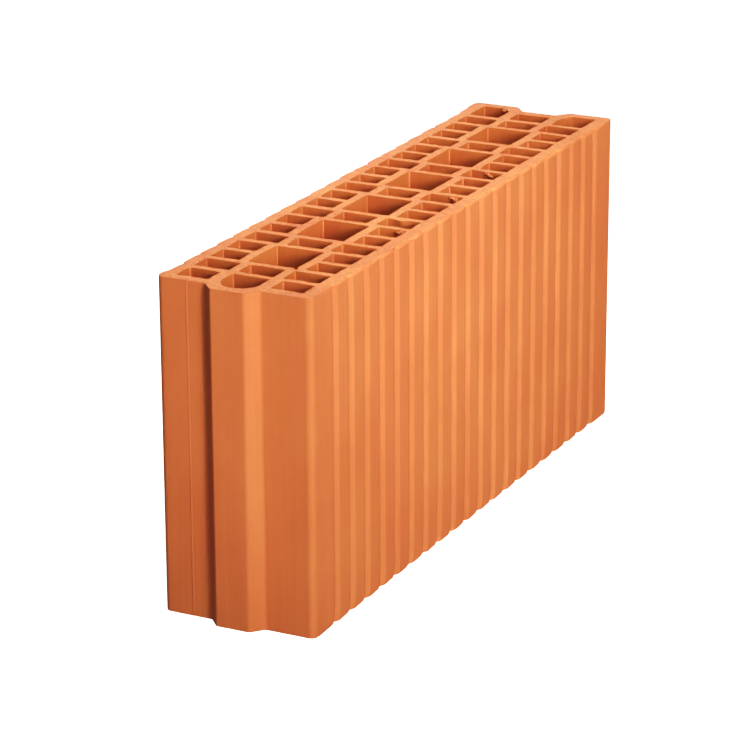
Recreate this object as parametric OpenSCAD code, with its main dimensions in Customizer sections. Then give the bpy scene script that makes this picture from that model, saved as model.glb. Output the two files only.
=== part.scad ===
// Hollow clay brick: a tall perforated block for partition walls, extruded and fired in one piece.
// Upright holes in three rows make it light, ribs on the long faces key the plaster, and a tongue
// at one end fits a groove at the other. Units are millimetres, +Z is up and the brick stands on
// Z = 0. The tongue points to -X and the groove opens to +X.

/* [Block] */
// Length between the two end faces, without the tongue
block_length = 498; // [480:1:540]
// Width across the ribbed faces
block_width = 115; // [110:1:130]
// Height, which is also the length of every hole
block_height = 238; // [60:1:300]
// Radius of the four upright outer corners
corner_radius = 5; // [1:0.5:6]

/* [Walls and webs] */
// Wall between a ribbed face and the outer row of holes
outer_wall = 10.8; // [9:0.1:12]
// Wall at the tongue end
near_wall = 9; // [6:0.5:11]
// Wall at the groove end
far_wall = 8.5; // [5:0.5:10]
// Web between two neighbours in one row
cross_web = 5.8; // [4:0.1:9]
// Web between two rows
row_web = 6.8; // [4:0.1:8]
// Web between the rows beside the tongue and beside the groove
end_web = 9; // [6:0.5:11]
// Wall between the tip of the tongue and the round-nosed hole behind it
tongue_wall = 8; // [6:0.5:10]
// Wall between a flank of the groove and the end hole beside it
groove_wall = 10; // [7:0.5:11]

/* [Holes] */
// Number of repeats along the brick, each of one wide middle hole and one narrow one
repeats = 6; // [5:1:7]
// Width of the wide middle holes
wide_hole = 36.2; // [30:0.2:40]
// Width of the narrow middle holes
narrow_hole = 26.7; // [22:0.1:30]
// Width of the round-nosed hole behind the tongue
nose_hole = 28; // [22:0.5:30]
// Length of the outer holes beside the groove
end_hole = 27; // [22:1:34]
// Radius of the upright corners inside the holes
hole_radius = 1; // [0.5:0.1:3]

/* [Tongue and groove] */
// How far the tongue stands out
tongue_depth = 9; // [5:0.5:11]
// Width of the tongue where it leaves the end face
tongue_root = 41; // [37:0.5:46]
// Width of the tongue at its tip
tongue_tip = 25; // [20:0.5:29]
// How much larger the groove is than the tongue, on every side
groove_play = 1.2; // [0.5:0.1:2]
// Radius of the edges of the tongue and the groove
joint_radius = 3; // [0.5:0.5:4]

/* [Ribs] */
// Depth of the grooves between the ribs
rib_depth = 2; // [1:0.1:3]
// How much deeper a rib's face lies at the groove-end side than at its crest
rib_lean = 0.8; // [0:0.1:0.9]
// Length of the wall that falls into a groove, seen from the tongue end
rib_fall = 2.5; // [2:0.5:5]
// Length of a groove's flat floor
rib_floor = 0.5; // [0.5:0.5:2]
// Length of the slope that rises out of a groove
rib_rise = 4; // [3:0.5:8]
// How far each groove lies past the middle of its web
rib_shift = 5; // [0:0.5:7]

/* [Hidden] */
// Number of equal holes along an outer row, before the longer end hole
row_count = 2 + 3 * repeats;
// The end faces, with the middle of the whole length, tongue included, at X = 0
near_x = -(block_length - tongue_depth) / 2;
far_x = near_x + block_length;
face_y = block_width / 2;
// Spacing of the holes along a row, and the length of one hole
pitch = (block_length - near_wall - far_wall - end_hole) / row_count;
hole_length = pitch - cross_web;
wide_length = 2 * hole_length + cross_web;
// Where the holes of an outer row end, measured from the middle plane
outer_y = face_y - outer_wall;
short_y = wide_hole / 2 + row_web;
long_y = narrow_hole / 2 + row_web;
nose_y = nose_hole / 2 + end_web;
end_y = narrow_hole / 2 + end_web;
// The round nose of the hole behind the tongue
nose_radius = nose_hole / 2;
nose_x = near_x - tongue_depth + tongue_wall + nose_radius;
// The groove, larger than the tongue all round
groove_depth = tongue_depth + groove_play;
groove_mouth = tongue_root + 2 * groove_play;
groove_base = tongue_tip + 2 * groove_play;
// Slope of the groove's flanks, and how far aside a line parallel to a flank meets the end face
flank_slope = (groove_mouth - groove_base) / 2 / groove_depth;
flank_y = groove_mouth / 2 + groove_wall * sqrt(1 + flank_slope * flank_slope);
// Number of straight steps in one rounded corner of the outline
corner_steps = 6;
// Overlap that takes a hole through both ends
through = 1;
clay = [0.86, 0.47, 0.25];

// Start of hole number i along a row
function hole_x(i) = near_x + near_wall + i * pitch;

// Middle of the floor of rib groove number i
function groove_x(i) = hole_x(i + 1) - cross_web / 2 + rib_shift;

// Direction from point a to point b
function heading(a, b) = (b - a) / norm(b - a);

// Corner b of an outline rounded with radius r, as a row of points on the arc
function rounded(a, b, c, r) =
    let (
        u = heading(b, a),
        v = heading(b, c),
        half = acos(u * v) / 2,
        middle = b + (u + v) / norm(u + v) * r / sin(half),
        from = b + u * r / tan(half) - middle,
        side = sign(u[1] * v[0] - u[0] * v[1]),
        sweep = side * (180 - 2 * half)
    )
    [for (k = [0 : corner_steps])
        let (t = sweep * k / corner_steps)
        middle + [from[0] * cos(t) - from[1] * sin(t), from[0] * sin(t) + from[1] * cos(t)]];

// The ribbed side at -Y, from the tongue end to the groove end
ribbed_side = [for (i = [0 : row_count - 1], p = [
    [groove_x(i) - rib_floor / 2 - rib_fall, rib_lean - face_y],
    [groove_x(i) - rib_floor / 2, rib_depth - face_y],
    [groove_x(i) + rib_floor / 2, rib_depth - face_y],
    [groove_x(i) + rib_floor / 2 + rib_rise, -face_y]]) p];

// Corners of the -Y half of the tongue end and of the groove end
tongue_corners = [
    [near_x - tongue_depth, -tongue_tip / 2],
    [near_x, -tongue_root / 2],
    [near_x, -face_y]];
groove_corners = [
    [far_x, -face_y],
    [far_x, -groove_mouth / 2],
    [far_x - groove_depth, -groove_base / 2]];

// One half of the outline, at -Y, from the middle of the tongue to the middle of the groove
half_outline = concat(
    rounded([near_x - tongue_depth, 0], tongue_corners[0], tongue_corners[1], joint_radius),
    rounded(tongue_corners[0], tongue_corners[1], tongue_corners[2], joint_radius),
    rounded(tongue_corners[1], tongue_corners[2], groove_corners[0], corner_radius),
    ribbed_side,
    rounded(tongue_corners[2], groove_corners[0], groove_corners[1], corner_radius),
    rounded(groove_corners[0], groove_corners[1], groove_corners[2], joint_radius),
    rounded(groove_corners[1], groove_corners[2], [far_x - groove_depth, 0], joint_radius));
half_count = len(half_outline);
outline = concat(half_outline, [for (i = [1 : half_count])
    [half_outline[half_count - i][0], -half_outline[half_count - i][1]]]);

// A rectangle from corner a to corner b with rounded corners
module rounded_rectangle(a, b, r) {
    translate([a[0] + r, a[1]])
        square([b[0] - a[0] - 2 * r, b[1] - a[1]]);
    translate([a[0], a[1] + r])
        square([b[0] - a[0], b[1] - a[1] - 2 * r]);
    for (x = [a[0] + r, b[0] - r], y = [a[1] + r, b[1] - r])
        translate([x, y])
            circle(r, $fn = 32);
}

// The hole behind the tongue: round at the nose, with two rounded corners at its straight end
module round_nosed_hole() {
    end_x = hole_x(0) + hole_length;
    intersection() {
        union() {
            translate([nose_x, 0])
                circle(nose_radius, $fn = 96);
            translate([nose_x, -nose_radius])
                square([end_x - nose_x, nose_hole]);
        }
        rounded_rectangle([nose_x - nose_hole, -nose_radius], [end_x, nose_radius], hole_radius);
    }
}

// The middle row: the round-nosed hole, then narrow and wide ones in turn
module middle_row() {
    round_nosed_hole();
    for (i = [1 : 3 : row_count])
        rounded_rectangle(
            [hole_x(i), -narrow_hole / 2],
            [hole_x(i) + hole_length, narrow_hole / 2],
            hole_radius);
    for (i = [2 : 3 : row_count - 1])
        rounded_rectangle(
            [hole_x(i), -wide_hole / 2],
            [hole_x(i) + wide_length, wide_hole / 2],
            hole_radius);
    rounded_rectangle(
        [hole_x(row_count), -narrow_hole / 2],
        [hole_x(row_count) + hole_length, narrow_hole / 2],
        hole_radius);
}

// One outer row at +Y: holes beside a narrow middle hole reach further inward
module outer_row() {
    rounded_rectangle([hole_x(0), nose_y], [hole_x(0) + hole_length, outer_y], hole_radius);
    for (i = [1 : row_count - 1])
        rounded_rectangle(
            [hole_x(i), i % 3 == 1 ? long_y : short_y],
            [hole_x(i) + hole_length, outer_y],
            hole_radius);
    difference() {
        rounded_rectangle([hole_x(row_count), end_y], [far_x - far_wall, outer_y], hole_radius);
        polygon([[far_x, 0], [far_x, flank_y], [far_x - flank_y / flank_slope, 0]]);
    }
}

// The whole brick, one fired piece
module brick() {
    color(clay)
        difference() {
            linear_extrude(block_height)
                polygon(outline);
            translate([0, 0, -through])
                linear_extrude(block_height + 2 * through) {
                    middle_row();
                    outer_row();
                    mirror([0, 1])
                        outer_row();
                }
        }
}

brick();
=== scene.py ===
# %% [markdown]
# # Hollow clay brick
# A perforated block for partition walls: clay is pressed through a die, so every edge runs
# upright, then a wire cuts it to height and a kiln fires it orange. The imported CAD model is
# loaded first as a fixed frame. Everything below is built around it, in metres, in its frame.

# %% Load the frame
import bisect
import math

import bmesh
import bpy
from mathutils import Matrix, Vector, noise


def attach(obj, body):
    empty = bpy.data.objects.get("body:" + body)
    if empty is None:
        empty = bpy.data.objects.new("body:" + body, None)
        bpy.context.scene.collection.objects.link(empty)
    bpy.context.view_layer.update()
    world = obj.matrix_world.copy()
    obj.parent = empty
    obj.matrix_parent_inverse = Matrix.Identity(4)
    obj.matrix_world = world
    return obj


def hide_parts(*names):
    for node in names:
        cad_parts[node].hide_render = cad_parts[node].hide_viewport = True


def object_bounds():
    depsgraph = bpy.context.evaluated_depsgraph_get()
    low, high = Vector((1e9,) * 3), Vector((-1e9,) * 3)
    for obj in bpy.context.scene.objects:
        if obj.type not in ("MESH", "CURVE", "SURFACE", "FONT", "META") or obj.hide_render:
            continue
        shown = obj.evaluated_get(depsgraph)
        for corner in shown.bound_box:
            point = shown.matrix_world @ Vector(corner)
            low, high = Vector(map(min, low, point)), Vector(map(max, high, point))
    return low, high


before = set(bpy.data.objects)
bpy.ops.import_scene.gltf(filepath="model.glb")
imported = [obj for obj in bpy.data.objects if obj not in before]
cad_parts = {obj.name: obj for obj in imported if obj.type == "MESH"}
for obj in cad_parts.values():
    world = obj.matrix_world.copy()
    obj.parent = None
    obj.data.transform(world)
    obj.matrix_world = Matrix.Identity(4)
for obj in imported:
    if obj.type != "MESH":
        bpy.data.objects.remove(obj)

MM = 0.001
X, Y, Z = 0, 1, 2
cad_low, cad_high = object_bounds()
HEIGHT = cad_high.z
HALF_WIDTH = cad_high.y
TONGUE_DEPTH = 9 * MM
SHOULDER_X = cad_low.x + TONGUE_DEPTH
scene = bpy.context.scene
print("CAD box in mm:", [round(v / MM, 1) for v in (*cad_low, *cad_high)])

# %% [markdown]
# ## Camera
# The photograph looks down at the tongue end from the right, with a long lens. The camera is
# placed by an azimuth, an elevation and a small roll, as a photographer would note them, and
# not by a track-to constraint, because the framing isn't centred on the brick.

# %% Camera
CAMERA_AZIMUTH = math.radians(26.655)
CAMERA_ELEVATION = math.radians(19.208)
CAMERA_ROLL = math.radians(-0.258)
CAMERA_DISTANCE = 2449.8 * MM
CAMERA_ASIDE = -19.56 * MM
CAMERA_UP = -18.32 * MM
CAMERA_LENS = 162.9
SENSOR_WIDTH = 36
AIM = Vector((TONGUE_DEPTH / 2, 0, HEIGHT / 2))


def make_camera():
    forward = Vector((
        math.cos(CAMERA_AZIMUTH) * math.cos(CAMERA_ELEVATION),
        math.sin(CAMERA_AZIMUTH) * math.cos(CAMERA_ELEVATION),
        -math.sin(CAMERA_ELEVATION)))
    level_right = Vector((math.sin(CAMERA_AZIMUTH), -math.cos(CAMERA_AZIMUTH), 0))
    right = Matrix.Rotation(-CAMERA_ROLL, 3, forward) @ level_right
    up = right.cross(forward)
    place = AIM - forward * CAMERA_DISTANCE + right * CAMERA_ASIDE + up * CAMERA_UP
    data = bpy.data.cameras.new("camera")
    data.sensor_width = SENSOR_WIDTH
    data.lens = CAMERA_LENS
    camera = bpy.data.objects.new("camera", data)
    axes = Matrix((right, up, -forward)).transposed().to_4x4()
    camera.matrix_world = Matrix.Translation(place) @ axes
    scene.collection.objects.link(camera)
    scene.camera = camera
    return camera


camera = make_camera()
print("camera at", [round(v, 3) for v in camera.matrix_world.translation])

# %% [markdown]
# ## Light
# The slopes that face the front right corner are brightest, and light falls slanting into the
# holes, so two low key beams stand at that corner. They are narrow and aimed at the top, so their
# light thins out towards the floor. A high wide lamp, a steep beam over the long side and a weak
# lamp before the tongue fill in. A last beam lights the back, which the photograph doesn't show.
# Each lamp is placed by its heading, turned from the long side towards the tongue, its elevation,
# and its distance from the point that it is aimed at.

# %% Lamps
LAMP_SIZE = 0.6
LAMPS = [
    # name, heading and elevation in degrees, distance and aim in metres, spread, power in watts
    ("key_beam", 40, 18, 2.0, (0.05, 0, HEIGHT), 30, 1.84),
    ("low_beam", 44, 8, 2.0, (0.05, 0, HEIGHT), 30, 0.8),
    ("high_lamp", 50, 65, 1.3, (0, 0, HEIGHT), 160, 4.85),
    ("side_beam", 0, 60, 1.3, (0, 0, HEIGHT), 45, 0.94),
    ("front_lamp", 90, 5, 1.3, (-0.25, 0, 0.03), 60, 0.4),
    ("back_beam", 235, 12, 1.3, (0, 0, HEIGHT), 60, 2.7),
]


def make_lamp(name, heading, elevation, distance, aim, spread, power):
    heading = math.radians(heading)
    elevation = math.radians(elevation)
    direction = Vector((
        -math.sin(heading) * math.cos(elevation),
        -math.cos(heading) * math.cos(elevation),
        math.sin(elevation)))
    data = bpy.data.lights.new(name, "AREA")
    data.shape = "SQUARE"
    data.size = LAMP_SIZE
    data.spread = math.radians(spread)
    data.energy = power
    lamp = bpy.data.objects.new(name, data)
    lamp.location = Vector(aim) + direction * distance
    lamp.rotation_mode = "QUATERNION"
    lamp.rotation_quaternion = direction.to_track_quat("Z", "Y")
    lamp.visible_camera = False
    scene.collection.objects.link(lamp)


for lamp in LAMPS:
    make_lamp(*lamp)
print("lamps:", [name for name, *_ in LAMPS])

# %% [markdown]
# ## World
# A dim white world stands for the light that a pale studio throws back from all sides. Without it
# the depths of the holes would be too dark.

# %% World
WORLD_STRENGTH = 0.19


def make_world():
    world = bpy.data.worlds.new("studio")
    world.use_nodes = True
    background = world.node_tree.nodes["Background"]
    background.inputs["Color"].default_value = (1, 1, 1, 1)
    background.inputs["Strength"].default_value = WORLD_STRENGTH
    scene.world = world
    return world


print("world:", make_world().name, "at strength", WORLD_STRENGTH)

# %% [markdown]
# ## Tone
# The photograph has deep shade in the holes and soft, slightly washed highlights. The Standard
# view with a gentle S of a tone curve gives both, and the clay keeps its strong orange. Past its
# last point the curve stays level, so the lit floor comes out white.

# %% Tone curve
TONE = [(0, 0), (0.074, 0.036), (0.193, 0.141), (0.4, 0.35), (0.64, 0.597), (0.95, 0.768),
        (1.36, 0.985), (1.6, 1)]
# Of the four curves, the last acts on red, green and blue alike
COMBINED = 3


def set_tone(points):
    view = scene.view_settings
    view.view_transform = "Standard"
    view.use_curve_mapping = True
    mapping = view.curve_mapping
    mapping.extend = "HORIZONTAL"
    brightest = points[-1][0]
    mapping.white_level = (brightest, brightest, brightest)
    curve = mapping.curves[COMBINED]
    for x, y in points[1:-1]:
        curve.points.new(x / brightest, y)
    mapping.update()
    return len(curve.points)


print("points of the tone curve:", set_tone(TONE))

# %% [markdown]
# ## Floor
# A plain pale floor. It glows a little by itself, as a light table does, so it stays white
# where the lamps don't reach, and it is kept from throwing that light back up onto the brick.

# %% Floor
FLOOR_SIZE = 14.0
FLOOR_GLOW = 1.4


def make_floor():
    mesh = bmesh.new()
    bmesh.ops.create_grid(mesh, x_segments=1, y_segments=1, size=FLOOR_SIZE / 2)
    data = bpy.data.meshes.new("floor")
    mesh.to_mesh(data)
    mesh.free()
    floor = bpy.data.objects.new("floor", data)
    scene.collection.objects.link(floor)
    floor.visible_diffuse = False
    floor.visible_glossy = False
    paint = bpy.data.materials.new("floor_paint")
    paint.use_nodes = True
    shader = paint.node_tree.nodes["Principled BSDF"]
    shader.inputs["Base Color"].default_value = (0.85, 0.85, 0.85, 1)
    shader.inputs["Roughness"].default_value = 0.9
    shader.inputs["Specular IOR Level"].default_value = 0.1
    shader.inputs["Emission Color"].default_value = (1, 1, 1, 1)
    shader.inputs["Emission Strength"].default_value = FLOOR_GLOW
    data.materials.append(paint)
    return floor


print(make_floor().name, FLOOR_SIZE, "m wide")

# %% [markdown]
# ## A copy of the brick to work on
# The CAD solid has the true section: the lattice of holes, the ribs, the tongue and the groove.
# Its mesh is loose triangles and isn't to be changed, so a copy is merged and its flat faces are
# joined. Building the section again here would only risk that the two differ.

# %% Merge and join
WELD = 0.02 * MM
FLAT = math.radians(1)

clay = bmesh.new()
clay.from_mesh(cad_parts["brick"].data)
bmesh.ops.remove_doubles(clay, verts=clay.verts, dist=WELD)
bmesh.ops.dissolve_limit(clay, angle_limit=FLAT, verts=clay.verts[:], edges=clay.edges[:])
print("merged copy:", len(clay.verts), "vertices,", len(clay.faces), "faces")

# %% [markdown]
# ## Three kinds of surface
# The faces the die has pressed are smooth, the two faces the wire has cut are grainy, and the
# walls of the holes are painted darker, a painted shade for the shade that falls inside them. A
# wall belongs to the outside or to a hole by what it is joined to, so the walls are sorted by
# walking from face to face.

# %% Sort the faces
SKIN, CUT, HOLE = 0, 1, 2
NEARLY = 0.9


def is_upright(edge):
    return abs(edge.verts[0].co.z - edge.verts[1].co.z) > NEARLY * HEIGHT


def sort_faces(mesh):
    for face in mesh.faces:
        face.material_index = CUT if abs(face.normal.z) > NEARLY else HOLE
    start = min((f for f in mesh.faces if f.material_index == HOLE),
                key=lambda f: f.calc_center_median().x)
    todo = [start]
    while todo:
        face = todo.pop()
        if face.material_index != HOLE:
            continue
        face.material_index = SKIN
        for edge in face.edges:
            todo.extend(f for f in edge.link_faces if f.material_index == HOLE)


sort_faces(clay)
count = [sum(f.material_index == kind for f in clay.faces) for kind in (SKIN, CUT, HOLE)]
print("faces of skin, cut and hole walls:", count)

# %% [markdown]
# ## Fewer corner facets
# The rounded corners of the holes have more facets than they need. The upright edges of each hole
# are taken in order round its middle, and every second one within a corner is dissolved, which
# saves triangles for the fine relief.

# %% Take out corner facets
SMALL_TURN = math.radians(14)


def holes_of(mesh):
    left = {f for f in mesh.faces if f.material_index == HOLE}
    while left:
        wall = set()
        todo = [left.pop()]
        while todo:
            face = todo.pop()
            wall.add(face)
            near = {f for e in face.edges for f in e.link_faces} & left
            left -= near
            todo.extend(near)
        yield wall


def thin_corners(mesh):
    spare = []
    for wall in list(holes_of(mesh)):
        uprights = list({e for f in wall for e in f.edges if is_upright(e)})
        points = [(e.verts[0].co + e.verts[1].co) / 2 for e in uprights]
        middle = sum(points, Vector()) / len(points)
        order = sorted(range(len(points)), key=lambda k: math.atan2(
            points[k].y - middle.y, points[k].x - middle.x))
        run = 0
        for k in order:
            in_corner = uprights[k].calc_face_angle(0) < SMALL_TURN
            run = run + 1 if in_corner else 0
            if run % 2 == 1:
                spare.append(uprights[k])
    bmesh.ops.dissolve_edges(mesh, edges=spare, use_verts=True)
    return len(spare)


print("corner facets taken out:", thin_corners(clay))

# %% [markdown]
# ## Soft edges
# The die's steel is never knife-sharp. A rib's crest gets a small round and the lip over the next
# groove a wider one, which shows as a thin darker line. The bottoms of the grooves are narrow and
# get very little, and the rims, where the wire came through, not much more. A Bevel modifier would
# need a weight on every edge, so bevel is called once for each kind of edge instead. The kind is
# told by how far in from the face an edge lies. The top edges of the ribbed faces wait: they are
# worn, and get a wide round of their own further down.

# %% Find the edges
RIB_START = cad_low.x + 18 * MM
RIB_END = cad_high.x - 9 * MM
RIB_REACH = 3 * MM
RIB_BEND = (math.radians(12), math.radians(60))


def along_ribs(point):
    return RIB_START < point.x < RIB_END and abs(point.y) > HALF_WIDTH - RIB_REACH


def rib_edges(mesh, shallow, deep):
    def is_rib(edge):
        point = edge.verts[0].co
        outside = all(f.material_index == SKIN for f in edge.link_faces)
        bent = RIB_BEND[0] < edge.calc_face_angle(0) < RIB_BEND[1]
        fits = shallow <= HALF_WIDTH - abs(point.y) < deep
        return is_upright(edge) and outside and bent and fits and along_ribs(point)
    return [e for e in mesh.edges if is_rib(e)]


def is_rim(edge):
    kinds = {f.material_index for f in edge.link_faces}
    return CUT in kinds and len(kinds) == 2


def is_worn(edge):
    return all(v.co.z > HEIGHT / 2 and along_ribs(v.co) for v in edge.verts)


def rim_edges(mesh):
    return [e for e in mesh.edges if is_rim(e) and not is_worn(e)]


print("edges of rims to round:", len(rim_edges(clay)))

# %% Round the ribs and the rims
CREST_ROUND = 1.2 * MM
LIP_ROUND = 2.3 * MM
VALLEY_ROUND = 0.2 * MM
RIM_ROUND = 0.25 * MM
# The least and the most that each kind of edge lies in from the face
CREST_PLACE = (-0.1 * MM, 0.3 * MM)
LIP_PLACE = (0.5 * MM, 1.1 * MM)
VALLEY_PLACE = (1.5 * MM, RIB_REACH)


def bevel(mesh, edges, offset, segments):
    bmesh.ops.bevel(
        mesh, geom=edges, offset=offset, offset_type="OFFSET", segments=segments,
        profile=0.5, affect="EDGES", material=-1, clamp_overlap=True)
    return len(edges)


rounded = [
    bevel(clay, rib_edges(clay, *VALLEY_PLACE), VALLEY_ROUND, 1),
    bevel(clay, rib_edges(clay, *LIP_PLACE), LIP_ROUND, 3),
    bevel(clay, rib_edges(clay, *CREST_PLACE), CREST_ROUND, 3),
    bevel(clay, rim_edges(clay), RIM_ROUND, 1)]
print("edges of valleys, lips, crests and rims rounded:", rounded)

# %% [markdown]
# ## Cuts that give the relief its points
# Relief needs points to move. Cutting the mesh by planes adds them where they are wanted and
# keeps every face on the CAD surface, which a remesh would not. Level cuts lie closer near the
# two ends, because that is where the wire has torn the clay. A fine grid is cut only into the
# end faces and the first rows of wall beside them, and the long walls stay light.

# %% Slice the mesh
LEVELS = [h * MM for h in (1.4, 3.4, 7, 12.5, 22, 45, 80)]
GRID_STEP = 2.0 * MM
GRID_OFFSET = 0.87 * MM
GRID_DEPTH = 1.2 * MM


def slice_at(mesh, part, axis, places):
    direction = Vector()
    direction[axis] = 1
    for place in places:
        part = bmesh.ops.bisect_plane(
            mesh, geom=part, dist=WELD,
            plane_co=direction * place, plane_no=direction)["geom"]
    return part


def faces_and_edges(faces):
    return list(faces) + list({e for f in faces for e in f.edges})


def steps(low, high, step, offset):
    return [low + offset + step * k for k in range(int((high - low - offset) / step) + 1)]


def to_end(point):
    return min(point.z, HEIGHT - point.z)


def triangles(mesh):
    return sum(len(f.verts) - 2 for f in mesh.faces)


slice_at(clay, faces_and_edges(clay.faces), Z, LEVELS + [HEIGHT / 2] + [HEIGHT - h for h in LEVELS])
ends = faces_and_edges([f for f in clay.faces if to_end(f.calc_center_median()) < GRID_DEPTH])
ends = slice_at(clay, ends, X, steps(cad_low.x, cad_high.x, GRID_STEP, GRID_OFFSET))
slice_at(clay, ends, Y, steps(cad_low.y, cad_high.y, GRID_STEP, GRID_OFFSET))
print("sliced:", len(clay.verts), "vertices,", triangles(clay), "triangles")

# %% [markdown]
# ## Marks to come
# A few places on this brick are its own: a swollen web, a nick in a corner, a seam that a worn
# die has left on the end face, and the worn top edges. Each gets some extra cuts first, so that
# it has points.

# %% Extra cuts for the marks
SEAM_Y = 34.7 * MM
SEAM_HALF = 0.5 * MM
SHOULDER_FROM = 22 * MM
SHOULDER_TO = 54 * MM
SWOLLEN_WEB = Vector((-59.9, -32.0, 0)) * MM
NICK = Vector((-190.6, -18.6, 0)) * MM
EDGE_CUTS = [c * MM for c in (0.7, 1.5, 2.4, 3.5)]
EDGE_BAND = 6 * MM
EDGE_DEPTH = 4 * MM


def faces_between(mesh, low, high):
    def inside(face):
        middle = face.calc_center_median()
        return all(low[k] <= middle[k] <= high[k] for k in (X, Y, Z))
    return faces_and_edges([f for f in mesh.faces if inside(f)])


def add_cuts(mesh, middle, reach, depth, step):
    low = (middle.x - reach, middle.y - reach, HEIGHT - depth)
    high = (middle.x + reach, middle.y + reach, HEIGHT + MM)
    for axis in (X, Y):
        part = faces_between(mesh, low, high)
        slice_at(mesh, part, axis, steps(low[axis], high[axis], step, 0))


shoulder = faces_between(
    clay, (SHOULDER_X - MM, SHOULDER_FROM, 0), (SHOULDER_X + MM, SHOULDER_TO, HEIGHT))
slice_at(clay, shoulder, Y, [SEAM_Y + k * SEAM_HALF for k in (-2, -1, 0, 1, 2)])
add_cuts(clay, SWOLLEN_WEB, reach=11 * MM, depth=13 * MM, step=2.2 * MM)
add_cuts(clay, NICK, reach=3.5 * MM, depth=4 * MM, step=0.6 * MM)
for side in (-1, 1):
    y0, y1 = sorted((side * (HALF_WIDTH - EDGE_BAND), side * (HALF_WIDTH + MM)))
    band = faces_between(
        clay, (cad_low.x, y0, HEIGHT - EDGE_DEPTH), (cad_high.x, y1, HEIGHT + MM))
    band = slice_at(clay, band, Y, [side * (HALF_WIDTH - c) for c in EDGE_CUTS])
    slice_at(clay, band, Z, [HEIGHT - c for c in EDGE_CUTS])
print("with cuts for the marks:", triangles(clay), "triangles")

# %% [markdown]
# ## Relief
# The webs of pressed clay are never quite straight, and the wire drags the ribs a little as it
# cuts. A Displace modifier would need a texture and a vertex group for each kind of relief, so
# each kind is a field instead: a function that says how far a point moves. Most fields are waves of
# smooth noise. A wave is given by its length across the brick, its length up the brick, and a seed
# that picks a stretch of the noise.

# %% Waves


def ease(a, b, value):
    t = min(1, max(0, (value - a) / (b - a)))
    return t * t * (3 - 2 * t)


def waves(point, across, upright, seed):
    return noise.noise(Vector((
        point.x / across + seed, point.y / across - seed, point.z / upright + 2 * seed)))


print("half way, an ease is at", ease(0, 1, 0.5))

# %% Webs and ribs
WEB_WOBBLE = 0.7 * MM
WEB_WAVE_X = (24 * MM, 130 * MM, 3.1)
WEB_WAVE_Y = (24 * MM, 130 * MM, 7.7)
RIB_DRAG = 1.9 * MM
DRAG_DEPTH = 8 * MM
DRAG_WAVE = (60 * MM, 900 * MM, 1.3)
DRAG_EVEN, DRAG_UNEVEN = 0.75, 0.5
RIB_SWAY = 0.35 * MM
SWAY_WAVE = (40 * MM, 45 * MM, 5.9)
# Where the wobble of the webs ends and the drag of the ribs sets in, each as a start and an end
WEB_SIDE = (HALF_WIDTH - 10 * MM, HALF_WIDTH - 3.5 * MM)
WEB_NEAR = (cad_low.x + 12.5 * MM, cad_low.x + 18.5 * MM)
WEB_FAR = (cad_high.x - 13.5 * MM, cad_high.x - 7.5 * MM)
RIB_SIDE = (HALF_WIDTH - 6.5 * MM, HALF_WIDTH - 2.5 * MM)
RIB_NEAR = (cad_low.x + 13.5 * MM, cad_low.x + 27.5 * MM)
RIB_FAR = (cad_high.x - 17.5 * MM, cad_high.x - 6.5 * MM)


def web_wobble(p):
    inside = 1 - ease(*WEB_SIDE, abs(p.y))
    inside *= ease(*WEB_NEAR, p.x) * (1 - ease(*WEB_FAR, p.x))
    return WEB_WOBBLE * inside * Vector((waves(p, *WEB_WAVE_X), waves(p, *WEB_WAVE_Y), 0))


def rib_drag(p):
    ribs = ease(*RIB_SIDE, abs(p.y))
    ribs *= ease(*RIB_NEAR, p.x) * (1 - ease(*RIB_FAR, p.x))
    drag = RIB_DRAG * (DRAG_EVEN + DRAG_UNEVEN * waves(p, *DRAG_WAVE))
    sway = RIB_SWAY * waves(p, *SWAY_WAVE)
    return Vector((ribs * (sway - drag * math.exp(-to_end(p) / DRAG_DEPTH)), 0, 0))


print("wobble of webs and drag of ribs in mm:", round(WEB_WOBBLE / MM, 2), round(RIB_DRAG / MM, 2))

# %% [markdown]
# ## Cut faces and rims
# The wire leaves a grainy face, and its rims are ragged, more so in some stretches than in others.
# Both only ever take clay away, so the brick stays in the box of the CAD model.

# %% Cut faces and rims
CUT_RELIEF = 0.3 * MM
GRAIN_WAVE = (3.2 * MM, 90 * MM, 2.4)
BROAD_WAVE = (20 * MM, 90 * MM, 8.8)
GRAIN_SHARE = 0.6
RIM_TEAR = 0.75 * MM
TEAR_WAVE = (3.6 * MM, 3.6 * MM, 6.6)
TEAR_BIAS = 0.2
# Where this wave is high, the rims are torn deeper, up to so many times more
DEEPER_WAVE = (26 * MM, 900 * MM, 12.3)
DEEPER_RANGE = (0.1, 0.5)
DEEPER = 2


def cut_relief(p):
    grain = 0.5 + 0.5 * waves(p, *GRAIN_WAVE)
    broad = 0.5 + 0.5 * waves(p, *BROAD_WAVE)
    drop = CUT_RELIEF * (GRAIN_SHARE * grain + (1 - GRAIN_SHARE) * broad)
    return Vector((0, 0, drop if p.z < HEIGHT / 2 else -drop))


def rim_tear(p, normal):
    depth = 1 + DEEPER * ease(*DEEPER_RANGE, waves(p, *DEEPER_WAVE))
    return -normal * RIM_TEAR * depth * max(0, TEAR_BIAS + waves(p, *TEAR_WAVE))


print("relief of the cut faces and tear of the rims in mm:",
      round(CUT_RELIEF / MM, 2), round(RIM_TEAR / MM, 2))

# %% [markdown]
# ## Swollen web, nick and seam
# Three marks that the photograph shows in one place each. The web bulges near the top, the nick
# is a small pit in the top face, and the seam is a fine raised line down the end face.

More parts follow.
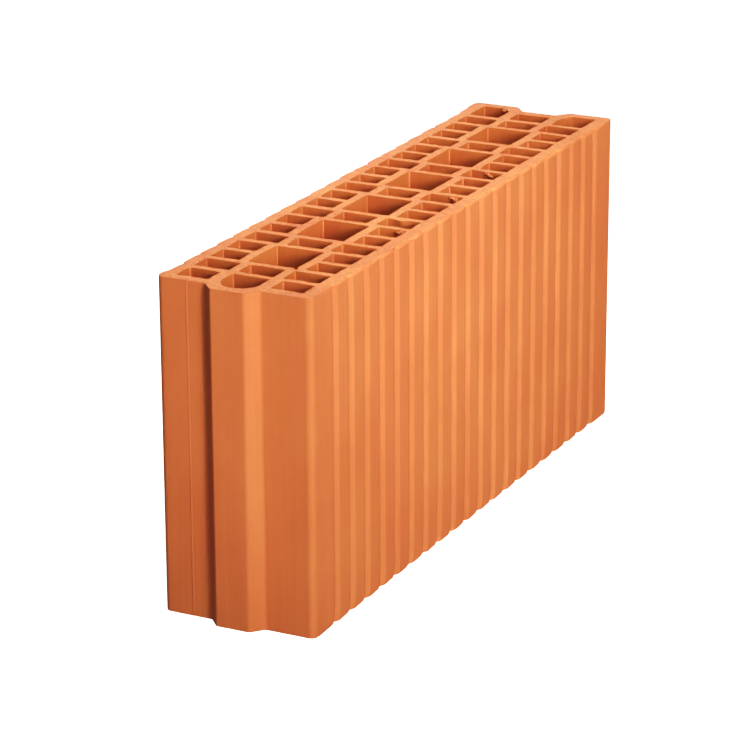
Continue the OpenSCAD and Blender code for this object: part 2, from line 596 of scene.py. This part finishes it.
# %% Swollen web, nick and seam
SWELL = 2.4 * MM
SWELL_ACROSS = (1.2 * MM, 4.4 * MM)
SWELL_ALONG = 4.5 * MM
SWELL_DOWN = (2 * MM, 12 * MM)
NICK_DEPTH = 3.4 * MM
NICK_RADIUS = (0.4 * MM, 2.2 * MM)
SEAM_HEIGHT = 0.75 * MM
SEAM_WAVE = (50 * MM, 25 * MM, 4.1)
SEAM_EVEN, SEAM_UNEVEN = 0.7, 0.5
ON_SEAM = 0.1 * MM


def swollen_web(p):
    near = 1 - ease(*SWELL_ACROSS, abs(p.x - SWOLLEN_WEB.x))
    near *= math.exp(-((p.y - SWOLLEN_WEB.y) / SWELL_ALONG) ** 2)
    return Vector((-SWELL * near * (1 - ease(*SWELL_DOWN, HEIGHT - p.z)), 0, 0))


def nick(p):
    away = math.hypot(p.x - NICK.x, p.y - NICK.y)
    depth = NICK_DEPTH if p.z > HEIGHT - MM else 0
    return Vector((0, 0, -depth * (1 - ease(*NICK_RADIUS, away))))


def seam(p):
    if abs(p.y - SEAM_Y) > ON_SEAM or p.x > SHOULDER_X + MM:
        return Vector()
    return Vector((-SEAM_HEIGHT * (SEAM_EVEN + SEAM_UNEVEN * waves(p, *SEAM_WAVE)), 0, 0))


print("swell, nick and seam in mm:", [round(v / MM, 2) for v in (SWELL, NICK_DEPTH, SEAM_HEIGHT)])

# %% [markdown]
# ## Worn top edges
# The top edges of the ribbed faces are worn round, and on the far side the wire has smeared a
# little clay into the grooves. A bevel as wide as that would fold over itself in the narrow
# grooves, so the points within reach of the edge are laid on an arc instead. The edge isn't
# straight in plan, so its place is looked up along X.

# %% Arc of a worn edge
EDGE_ROUND = 2.1 * MM
EDGE_WAVE = (25 * MM, 900 * MM, 9.2)
EDGE_UNEVEN = 0.6
EDGE_FADE = 8 * MM
GROOVE_FILL = 0.2
SMEAR_DEPTH = 6 * MM
RIB_TOP = 0.3 * MM


def groove_smear(p):
    if p.y < 0 or not along_ribs(p):
        return 0
    open_depth = max(0, HALF_WIDTH - p.y - RIB_TOP)
    return GROOVE_FILL * open_depth * (1 - ease(0, SMEAR_DEPTH, HEIGHT - p.z))


def find_edge(mesh, side):
    rim = {v for e in mesh.edges if is_rim(e) and is_worn(e) for v in e.verts if v.co.y * side > 0}
    return sorted((v.co.x, abs(v.co.y) + groove_smear(v.co)) for v in rim)


def edge_at(edge, x):
    k = min(max(bisect.bisect(edge, (x, 0)), 1), len(edge) - 1)
    (x0, y0), (x1, y1) = edge[k - 1], edge[k]
    t = min(1, max(0, (x - x0) / max(x1 - x0, WELD)))
    return y0 + t * (y1 - y0)


def worn_edge(p, is_cut, edge):
    if p.z < HEIGHT - EDGE_DEPTH or abs(p.y) < HALF_WIDTH - EDGE_BAND:
        return Vector()
    side = 1 if p.y > 0 else -1
    r = EDGE_ROUND * (1 + EDGE_UNEVEN * waves(p, *EDGE_WAVE))
    r *= ease(edge[0][0], edge[0][0] + EDGE_FADE, p.x)
    r *= 1 - ease(edge[-1][0] - EDGE_FADE, edge[-1][0], p.x)
    away = max(0, edge_at(edge, p.x) - abs(p.y)) if is_cut else HEIGHT - p.z
    if away >= r:
        return Vector()
    turn = math.pi / 4 * (1 - away / r)
    along = r - r * math.sin(turn) - away
    drop = r - r * math.cos(turn)
    return Vector((0, -side * along, -drop)) if is_cut else Vector((0, -side * drop, -along))


worn = {side: find_edge(clay, side) for side in (-1, 1)}
print("points along the worn edges:", [len(worn[side]) for side in (-1, 1)])

# %% [markdown]
# ## Moving the points
# Each point takes the fields that belong to the faces it lies on. All moves are worked out before
# the first point moves, so that every field reads the places and normals of the untouched surface.

# %% Move the points


def shape_clay(mesh):
    mesh.normal_update()
    moves = []
    for v in mesh.verts:
        kinds = {f.material_index for f in v.link_faces}
        p = v.co
        move = rib_drag(p) + swollen_web(p) + nick(p) + seam(p)
        if SKIN in kinds:
            move.y += groove_smear(p)
        if HOLE not in kinds:
            move += worn_edge(p, CUT in kinds, worn[1 if p.y > 0 else -1])
        if SKIN not in kinds:
            move += web_wobble(p)
        if CUT in kinds:
            move += cut_relief(p)
        if len(kinds) > 1:
            move += rim_tear(p, v.normal)
        moves.append(move)
    for v, move in zip(mesh.verts, moves):
        v.co += move
    for face in mesh.faces:
        face.smooth = True
    return max(move.length for move in moves)


print("longest move in mm:", round(shape_clay(clay) / MM, 2))

# %% [markdown]
# ## Painted highlight on the corners in the holes
# The upright corners inside the holes are painted lighter than the walls, a painted highlight for
# the light that their rounded facets catch. Their facets are the only narrow ones that stand askew
# to both axes, so that is how they are found, and they get a finish of their own.

# %% Find the corner facets
CORNER = 3
FACET_WIDTH = 0.8 * MM
# The least that a facet's normal leans to each axis, and the most that it leans up or down
ASKEW = 0.2
LEANING = 0.4


def is_corner_facet(face):
    heights = [v.co.z for v in face.verts]
    narrow = face.calc_area() < FACET_WIDTH * (max(heights) - min(heights))
    askew = min(abs(face.normal.x), abs(face.normal.y)) > ASKEW and abs(face.normal.z) < LEANING
    return face.material_index == HOLE and narrow and askew


def mark_corners(mesh):
    mesh.normal_update()
    facets = [f for f in mesh.faces if is_corner_facet(f)]
    for face in facets:
        face.material_index = CORNER
    return len(facets)


print("corner facets:", mark_corners(clay))

# %% [markdown]
# ## Crumbs
# Where the wire tore the clay, crumbs and burrs were fired onto the rims. They could be scattered,
# but this brick has only a dozen, in places that show, so each is listed one by one: a small ball
# that noise has knocked out of round, sunk into the wall that it sticks to.

# %% Crumbs
CRUMBS = [
    # x, y and depth of the middle in mm, then the size along X, Y and Z
    ((-83.4, -42.4, 1.9), (1.7, 3.2, 1.5)),
    ((-84.4, -45.0, 3.8), (1.7, 2.2, 2.2)),
    ((-83.0, -39.4, 4.6), (1.1, 1.2, 1.6)),
    ((7.3, -41.2, 3.0), (1.8, 2.6, 2.0)),
    ((7.6, -38.0, 1.5), (1.0, 2.6, 0.9)),
    ((6.8, -45.2, 4.8), (1.5, 1.9, 1.6)),
    ((75.5, -33.8, 1.5), (1.0, 2.2, 0.9)),
    ((75.3, -36.8, 3.1), (1.2, 2.2, 1.3)),
    ((244.2, 28.9, 1.4), (1.7, 1.9, 1.5)),
    ((-242.2, 55.2, 0.9), (1.7, 0.9, 0.8)),
    ((-140.5, 55.2, 1.2), (1.8, 1.0, 1.0)),
    ((173.0, 46.4, 1.2), (1.4, 1.0, 1.0)),
]
SEED_STEP = 3.7
# Strength and fineness of a crumb's lumps and of its grit
LUMPS = (0.5, 1.5)
GRIT = (0.3, 3.7)


def add_crumb(mesh, middle, size, seed):
    ball = bmesh.ops.create_icosphere(mesh, subdivisions=3, radius=1)
    for v in ball["verts"]:
        rough = 1 + LUMPS[0] * noise.noise(v.co * LUMPS[1] + Vector((seed, 0, 0)))
        rough += GRIT[0] * noise.noise(v.co * GRIT[1] + Vector((0, seed, 0)))
        v.co = Vector([MM * (middle[k] + size[k] * rough * v.co[k]) for k in (X, Y, Z)])
        v.co.z = min(v.co.z, HEIGHT)


crumbs = bmesh.new()
for number, ((x, y, depth), size) in enumerate(CRUMBS):
    add_crumb(crumbs, (x, y, HEIGHT / MM - depth), size, SEED_STEP * number)
for face in crumbs.faces:
    face.smooth = True
print("crumbs:", len(CRUMBS), "with", triangles(crumbs), "triangles")

# %% [markdown]
# ## Nodes for a finish
# A finish is a tree of nodes, and the same few groups come up again and again. Each is a function
# that adds its nodes to the tree and hands back a socket: a field of noise, one step of arithmetic,
# a share of a field that stays around one half, and a share of a field added to a base.

# %% Groups of nodes


def noise_field(tree, place, stretch, size, detail, rough):
    mapping = tree.nodes.new("ShaderNodeMapping")
    mapping.inputs["Scale"].default_value = stretch
    tree.links.new(place, mapping.inputs["Vector"])
    texture = tree.nodes.new("ShaderNodeTexNoise")
    texture.inputs["Scale"].default_value = 1 / (size * MM)
    texture.inputs["Detail"].default_value = detail
    texture.inputs["Roughness"].default_value = rough
    tree.links.new(mapping.outputs["Vector"], texture.inputs["Vector"])
    return texture.outputs["Fac"]


def arithmetic(tree, operation, *values):
    node = tree.nodes.new("ShaderNodeMath")
    node.operation = operation
    for socket, value in zip(node.inputs, values):
        if isinstance(value, float):
            socket.default_value = value
        else:
            tree.links.new(value, socket)
    return node.outputs["Value"]


def share(tree, field, amount):
    return arithmetic(tree, "MULTIPLY_ADD", field, amount, 0.5 - amount / 2)


def add_share(tree, base, field, amount):
    around_zero = arithmetic(tree, "SUBTRACT", field, 0.5)
    return arithmetic(tree, "MULTIPLY_ADD", around_zero, amount, base)


print("groups of nodes:", [f.__name__ for f in (noise_field, arithmetic, share, add_share)])

# %% [markdown]
# ## Clay
# Fired clay is matt and never one flat orange. Every finish follows one recipe with colours of its
# own: broad clouds from the kiln, upright streaks from the die, and fine grain. A slow drift of
# hue, from redder to yellower, comes last. Streaks and grain also give a slight bump. The patterns
# are noise on Object coordinates, which need no unwrapping and stay on the brick from every side.

# %% Recipe for clay
CLOUD_SIZE = 45
CLOUD_SHARE = 0.9
STREAK_SIZE = 3.6
STREAK_RELIEF = 0.5
TINT_SIZE = 40
TINT_DRIFT = 0.011
# Where the mix of fields reaches the dark colour and the light one
DARK_AT = 0.15
LIGHT_AT = 0.85
GLOSS = 0.2


def make_clay(name, dark, light, streak, grain, grain_size, bump, roughness):
    material = bpy.data.materials.new(name)
    material.use_nodes = True
    tree = material.node_tree
    shader = tree.nodes["Principled BSDF"]
    place = tree.nodes.new("ShaderNodeTexCoord").outputs["Object"]
    clouds = noise_field(tree, place, stretch=(1, 1, 0.6), size=CLOUD_SIZE, detail=3, rough=0.55)
    streaks = noise_field(tree, place, stretch=(1, 1, 0.02), size=STREAK_SIZE, detail=3, rough=0.55)
    specks = noise_field(tree, place, stretch=(1, 1, 1), size=grain_size, detail=3, rough=0.6)
    drift = noise_field(tree, place, stretch=(1, 1, 0.5), size=TINT_SIZE, detail=2, rough=0.5)

    mix = share(tree, clouds, CLOUD_SHARE)
    mix = add_share(tree, mix, streaks, streak)
    mix = add_share(tree, mix, specks, grain)
    ramp = tree.nodes.new("ShaderNodeValToRGB")
    ramp.color_ramp.elements[0].position = DARK_AT
    ramp.color_ramp.elements[0].color = (*dark, 1)
    ramp.color_ramp.elements[1].position = LIGHT_AT
    ramp.color_ramp.elements[1].color = (*light, 1)
    tree.links.new(mix, ramp.inputs["Fac"])
    tint = tree.nodes.new("ShaderNodeHueSaturation")
    tree.links.new(share(tree, drift, TINT_DRIFT), tint.inputs["Hue"])
    tree.links.new(ramp.outputs["Color"], tint.inputs["Color"])
    tree.links.new(tint.outputs["Color"], shader.inputs["Base Color"])

    relief = add_share(tree, share(tree, streaks, streak * STREAK_RELIEF), specks, grain)
    height = tree.nodes.new("ShaderNodeBump")
    height.inputs["Strength"].default_value = 1
    height.inputs["Distance"].default_value = bump * MM
    tree.links.new(relief, height.inputs["Height"])
    tree.links.new(height.outputs["Normal"], shader.inputs["Normal"])
    shader.inputs["Roughness"].default_value = roughness
    shader.inputs["Specular IOR Level"].default_value = GLOSS
    print("finish", name, "with", len(tree.nodes), "nodes")
    return material


# %% [markdown]
# ## Four finishes
# The pressed skin is smooth, with fine streaks. The cut faces are paler and coarse, without streaks.
# The walls of the holes are a deeper orange, a painted shade for the shade inside them, and their
# corners are paler than the walls, a painted highlight for the light that the rounded corners catch.

# %% Finishes
skin = make_clay(
    "pressed_skin", dark=(0.57, 0.164, 0.062), light=(0.69, 0.213, 0.086),
    streak=0.45, grain=0.35, grain_size=1.3, bump=0.12, roughness=0.75)
cut = make_clay(
    "wire_cut", dark=(0.61, 0.168, 0.062), light=(0.82, 0.272, 0.104),
    streak=0.0, grain=1.4, grain_size=2.6, bump=0.5, roughness=0.9)
# The darker colours of the hole walls are a painted shade for the shade that falls inside the holes.
hole = make_clay(
    "hole_wall_painted_shade", dark=(0.404, 0.112, 0.035), light=(0.504, 0.151, 0.051),
    streak=0.5, grain=0.35, grain_size=1.3, bump=0.12, roughness=0.8)
# The paler colours of the corners are a painted highlight for the light that the rounded corner
# facets catch. The crumbs take this finish too.
corner = make_clay(
    "hole_corner_highlight_and_crumbs", dark=(0.54, 0.160, 0.065), light=(0.67, 0.215, 0.090),
    streak=0.3, grain=0.35, grain_size=1.3, bump=0.12, roughness=0.8)
finishes = {SKIN: skin, CUT: cut, HOLE: hole, CORNER: corner}
print("finishes:", [finishes[kind].name for kind in sorted(finishes)])

# %% [markdown]
# ## Pieces
# The shaped clay becomes one piece that stands for the CAD brick, and the crumbs one more. Smooth
# shading alone would bend the light on the large flat faces near their edges, so a Weighted Normal
# modifier lets the large faces decide, and edges sharper than a rounded one stay sharp.

# %% Make the pieces
SHARP = math.radians(40)


def make_piece(name, mesh, materials):
    data = bpy.data.meshes.new(name)
    mesh.to_mesh(data)
    mesh.free()
    for material in materials:
        data.materials.append(material)
    piece = bpy.data.objects.new(name, data)
    scene.collection.objects.link(piece)
    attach(piece, "root")
    print(name + ":", len(data.vertices), "vertices,",
          sum(len(p.vertices) - 2 for p in data.polygons), "triangles")
    return piece


brick = make_piece("fired_brick", clay, [finishes[kind] for kind in sorted(finishes)])
brick.data.set_sharp_from_angle(angle=SHARP)
flat_faces = brick.modifiers.new("flat_faces_stay_flat", "WEIGHTED_NORMAL")
flat_faces.mode = "FACE_AREA"
flat_faces.weight = 100
flat_faces.keep_sharp = True
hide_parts("brick")
make_piece("rim_crumbs", crumbs, [corner])
